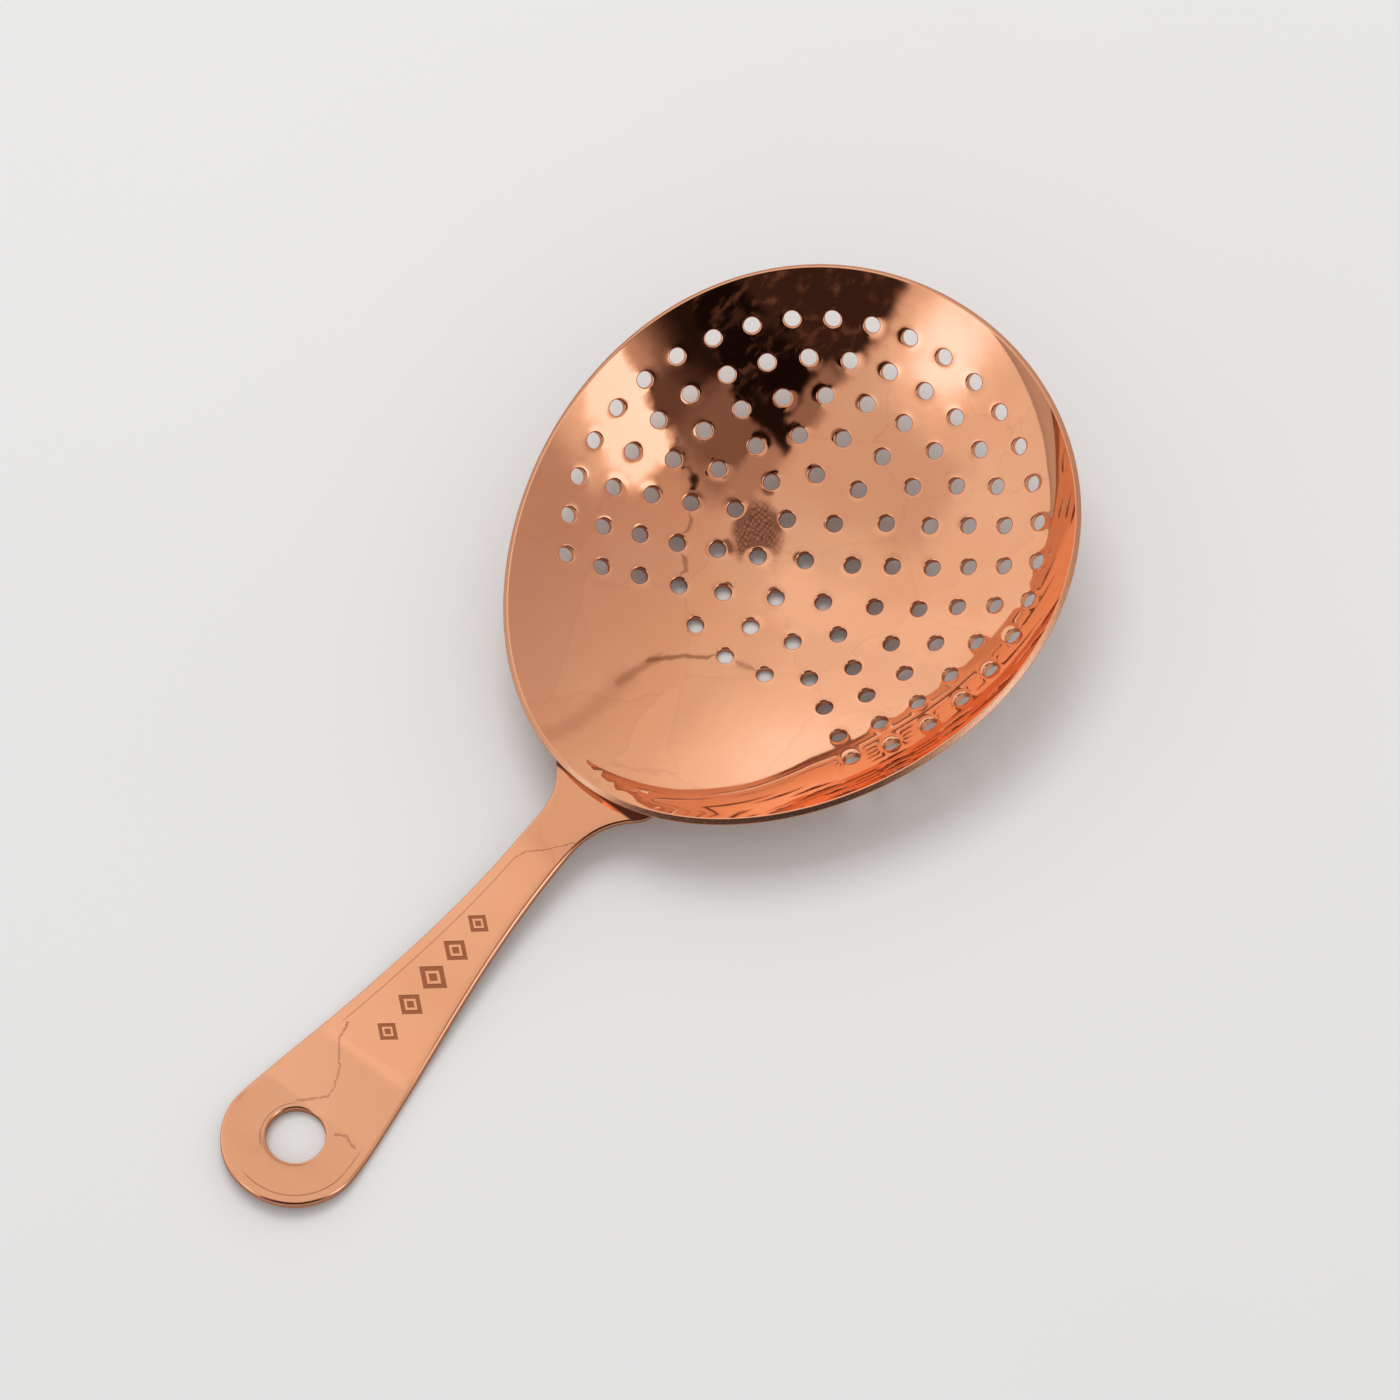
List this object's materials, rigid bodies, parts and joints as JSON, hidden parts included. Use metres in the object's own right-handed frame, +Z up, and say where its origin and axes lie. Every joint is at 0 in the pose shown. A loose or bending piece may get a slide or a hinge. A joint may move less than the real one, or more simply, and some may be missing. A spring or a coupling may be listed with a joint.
{
  "type": "julep strainer",
  "caption": "Julep cocktail strainer: a perforated oval bowl with a strap handle welded under its rim and a hanging hole in the handle's end.",
  "frame": {"origin": "middle of the footprint's box, on the counter the strainer rests on", "axes": "+X along the length towards the bowl's far tip, with the handle's end at -X; +Z up from the counter; the XZ plane is the plane of symmetry"},
  "size_m": [0.1642, 0.0788, 0.0249],
  "materials": {
    "bowl_copper_plate": "mirror polished copper plate on pressed stainless sheet",
    "handle_copper_plate": "polished copper plate on stainless strap",
    "weld_metal": "fused steel, dull"
  },
  "bodies": {
    "root": {"perforated_bowl": "bowl_copper_plate", "handle_strap": "handle_copper_plate", "weld_nugget_left": "weld_metal", "weld_nugget_right": "weld_metal"}
  },
  "joints": []
}
